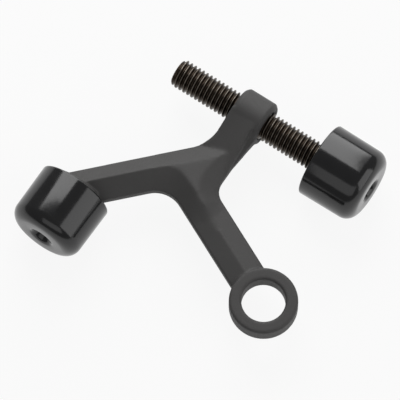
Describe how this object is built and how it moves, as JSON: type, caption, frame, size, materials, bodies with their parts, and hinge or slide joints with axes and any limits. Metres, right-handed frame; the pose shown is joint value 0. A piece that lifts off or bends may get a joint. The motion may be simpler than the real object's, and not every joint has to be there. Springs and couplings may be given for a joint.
{
  "type": "hinge pin door stop",
  "caption": "Hinge pin door stop: a ring on a bevelled forked casting, with a fixed rubber bumper on an arm and an adjustable rubber bumper on a threaded rod.",
  "frame": {"origin": "centre of the ring's bore, half way through its thickness", "axes": "+Z along the hinge pin, +X along the threaded rod towards its bumper, +Y from the ring towards the rod"},
  "size_m": [0.0781, 0.0692, 0.0206],
  "materials": {
    "powder_coated_casting": "satin",
    "blackened_steel": "satin",
    "bumper_rubber": "gloss"
  },
  "bodies": {
    "casting": {"yoke": "powder_coated_casting", "fixed_bumper": "bumper_rubber"},
    "sliding_bumper": {"adjustable_bumper": "bumper_rubber"},
    "rod": {"threaded_rod": "blackened_steel"}
  },
  "joints": [
    {"name": "bumper_travel", "type": "slide", "parent": "casting", "child": "sliding_bumper", "axis": [1, 0, 0], "range_m": [-0.01625, 0.0175]},
    {"name": "rod_turn", "type": "hinge", "parent": "sliding_bumper", "child": "rod", "pos_m": [-0.0098, 0.0418, 0], "axis": [1, 0, 0], "range_deg": [-4681, 5041]}
  ],
  "couplings": [
    {"joint": "rod_turn", "follows": "bumper_travel", "rad_per_m": 5026.5}
  ]
}
